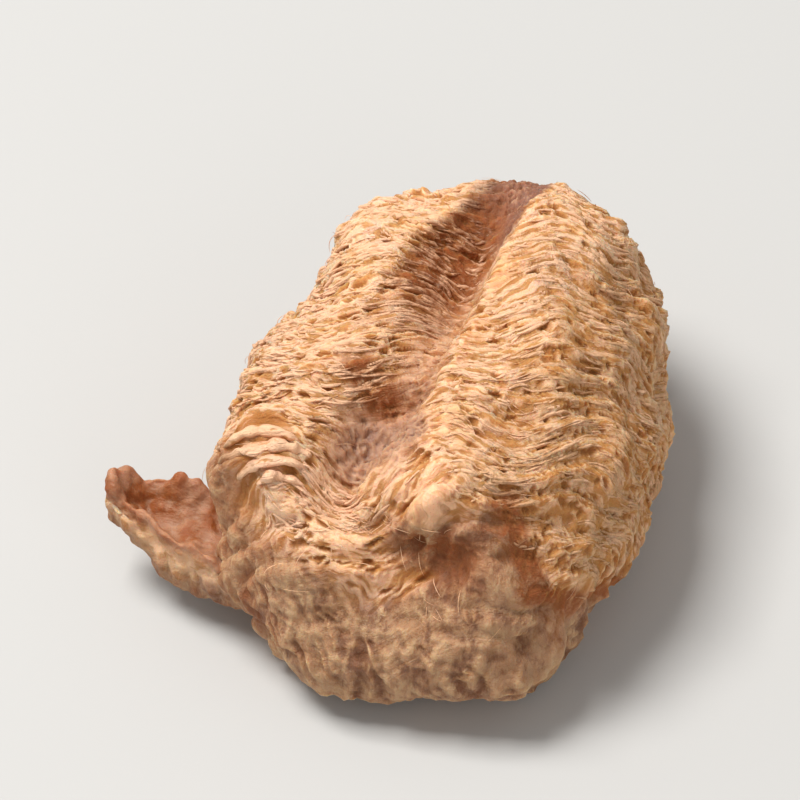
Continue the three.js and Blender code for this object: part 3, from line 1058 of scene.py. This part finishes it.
class EGGCASE_OT_stage(bpy.types.Operator):
    """Set up the floor, the soft lights and the camera"""

    bl_idname = "egg_case.stage"
    bl_label = "Stage"

    def execute(self, context):
        look = context.scene.stage_look
        paint = Paint("pale_floor")
        sockets = {"Base Color": tuple(look.floor), "Roughness": 0.9}
        shader = paint.node("ShaderNodeBsdfPrincipled", {}, sockets)
        paint.node("ShaderNodeOutputMaterial", {}, {"Surface": shader})
        bm = bmesh.new()
        bmesh.ops.create_grid(bm, size=FLOOR_REACH)
        mesh = mesh_of(bm, "floor")
        mesh.materials.append(paint.material)
        floor = bpy.data.objects.new("floor", mesh)
        context.scene.collection.objects.link(floor)

        target = (CASE_LOW + CASE_HIGH) / 2
        soft_light("key", KEY_LIGHT, target, look.key)
        soft_light("fill", FILL_LIGHT, target, look.fill)
        world = bpy.data.worlds.new("studio")
        world.use_nodes = True
        background = world.node_tree.nodes["Background"]
        background.inputs["Color"].default_value = (1, 1, 1, 1)
        background.inputs["Strength"].default_value = look.world
        context.scene.world = world
        context.scene.view_settings.view_transform = "Standard"

        level = math.cos(look.elevation)
        back = Vector((
            math.sin(look.azimuth) * level,
            -math.cos(look.azimuth) * level,
            math.sin(look.elevation),
        ))
        right = Vector((math.cos(look.azimuth), math.sin(look.azimuth), 0))
        to_left, up = VIEW_SHIFT
        middle = BODY_AXIS - right * (to_left / VIEW_SCALE) + back.cross(right) * (up / VIEW_SCALE)
        camera_data = bpy.data.cameras.new("camera")
        camera_data.lens = camera_data.sensor_width * look.distance / look.view_width
        camera_data.clip_start = 0.01
        camera = bpy.data.objects.new("camera", camera_data)
        context.scene.camera = aimed(camera, middle + back * look.distance, middle)
        return {"FINISHED"}


class EGGCASE_OT_foam(bpy.types.Operator):
    """Model the foam body with its lobes, furrow and leaves"""

    bl_idname = "egg_case.foam"
    bl_label = "Foam body"

    def execute(self, context):
        look = context.scene.foam_look
        bm, polar, turn = ball_grid(look.around, look.lengthwise)
        polar = polar + RING_CROWDING * np.sin(2 * polar)
        turn = turn - look.crowding * np.sin(turn)
        mesh = mesh_of(bm, "foam_body")
        points = case_points(polar, turn)
        set_points(mesh, points)
        height, marks, leaf_way = foam_relief(points, turn)
        points = points + mesh_normals(mesh) * height[:, None]
        points[:, 2] = np.maximum(points[:, 2], rest_plane(points[:, 0], turn))
        set_points(mesh, points)
        paint_marks(mesh, marks, leaf_way)
        foam_material(look, "foam_edges", 0.0)
        piece = finish_piece("foam_body", mesh, foam_material(look, "dried_foam", SOFTNESS))
        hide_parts("egg_case")
        return {"FINISHED"}


class EGGCASE_OT_leaves(bpy.types.Operator):
    """Model the free edges of the leaves that stand out of the foam"""

    bl_idname = "egg_case.leaves"
    bl_label = "Leaf edges"

    def execute(self, context):
        look = context.scene.leaf_look
        rng = np.random.default_rng(LEAF_SEED)
        left_tall = in_millimetres(look.left_height)
        right_tall = in_millimetres(look.right_height)
        left = leaf_edges(rng, look.left_count, LEAF_EDGE["left_turns"], left_tall)
        right = leaf_edges(rng, look.right_count, LEAF_EDGE["right_turns"], right_tall)
        rolled = {name: np.array(values) for name, values in ROLLED_LEAVES.items()}
        leaf_piece("left_leaves", left, THIN_SEGMENTS, THIN_SECTION, leaf_cover)
        leaf_piece("right_leaves", right, THIN_SEGMENTS, THIN_SECTION, leaf_cover)
        leaf_piece("leafy_roll", rolled, FAT_SEGMENTS, FAT_SECTION)
        return {"FINISHED"}


class EGGCASE_OT_wing(bpy.types.Operator):
    """Model the torn wing at the near left corner"""

    bl_idname = "egg_case.wing"
    bl_label = "Torn wing"

    def execute(self, context):
        look = context.scene.wing_look
        bm, polar, turn = ball_grid(look.around, look.lengthwise)
        points = wing_points(polar, turn)
        mesh = mesh_of(bm, "torn_wing")
        set_points(mesh, points)
        mesh.flip_normals()
        inside = smoothstep(np.cos(turn), *WING_SURFACE["inside"])
        rim = bell(np.cos(turn), WING_SURFACE["rim"])
        height = WING_SURFACE["fold"] * ridges(points * (0.8, 0.9, 0.5), 1.0, 71)
        height = height + WING_SURFACE["grain"] * noise(points, 2.6, 72)
        points = points + mesh_normals(mesh) * (height - WING_SURFACE["sink"])[:, None]
        set_points(mesh, points)
        blotches = bell(noise(points, 0.6, 73) - 0.5, 0.3)
        marks = {
            # Painted light and shade: the wing is paler where its folds stand out and darker in their
            # hollows; its rim is paler as well.
            "crest": np.clip(0.45 + height + 0.3 * rim, 0, 1),
            "skin": (1 - inside) * (1 - 0.6 * rim),
            "brown": inside * (0.22 + 0.5 * blotches),
            "film": inside * (1 - rim) * 0.9,
        }
        paint_marks(mesh, marks, points)
        finish_piece("torn_wing", mesh, made_material("dried_foam"))
        return {"FINISHED"}


class EGGCASE_OT_fibres(bpy.types.Operator):
    """Scatter the loose dried fibres over the foam"""

    bl_idname = "egg_case.fibres"
    bl_label = "Loose fibres"

    def execute(self, context):
        look = context.scene.fibre_look
        sides = FIBRE["sides"]
        line, way, out, radius = fibre_lines(np.random.default_rng(FIBRE_SEED), look)
        across = np.cross(way, out)[:, None]
        rings = []
        for side in range(sides + 1):
            angle = 2 * math.pi * side / sides
            arm = across * math.cos(angle) + out[:, None] * math.sin(angle)
            rings.append(line + arm * radius[..., None])
        points = np.stack(rings, axis=2).reshape(-1, 3)
        mesh = mesh_of(strips(look.count, FIBRE["segments"], sides), "loose_fibres")
        set_points(mesh, points)
        paint_marks(mesh, {"crest": np.ones(len(points))}, points)
        finish_piece("loose_fibres", mesh, made_material("foam_edges"))
        return {"FINISHED"}


class EGGCASE_PT_panel(bpy.types.Panel):
    """Lists the steps that make the egg case"""

    bl_label = "Egg Case"
    bl_space_type = "VIEW_3D"
    bl_region_type = "UI"
    bl_category = "Egg Case"

    def draw(self, context):
        for step in STEPS:
            self.layout.operator(step.bl_idname)
        for name in LOOKS:
            look = getattr(context.scene, name)
            for setting in look.__annotations__:
                self.layout.prop(look, setting)


STEPS = (EGGCASE_OT_stage, EGGCASE_OT_foam, EGGCASE_OT_leaves, EGGCASE_OT_wing, EGGCASE_OT_fibres)
LOOKS = {
    "foam_look": FoamLook,
    "leaf_look": LeafLook,
    "wing_look": WingLook,
    "fibre_look": FibreLook,
    "stage_look": StageLook,
}
CLASSES = (*LOOKS.values(), *STEPS, EGGCASE_PT_panel)


def register():
    for cls in CLASSES:
        bpy.utils.register_class(cls)
    for name, look in LOOKS.items():
        setattr(bpy.types.Scene, name, PointerProperty(type=look))


def unregister():
    for name in LOOKS:
        delattr(bpy.types.Scene, name)
    for cls in reversed(CLASSES):
        bpy.utils.unregister_class(cls)


def main():
    register()
    bpy.ops.egg_case.stage()
    bpy.ops.egg_case.foam()
    bpy.ops.egg_case.leaves()
    bpy.ops.egg_case.wing()
    bpy.ops.egg_case.fibres()


if __name__ == "__main__":
    main()
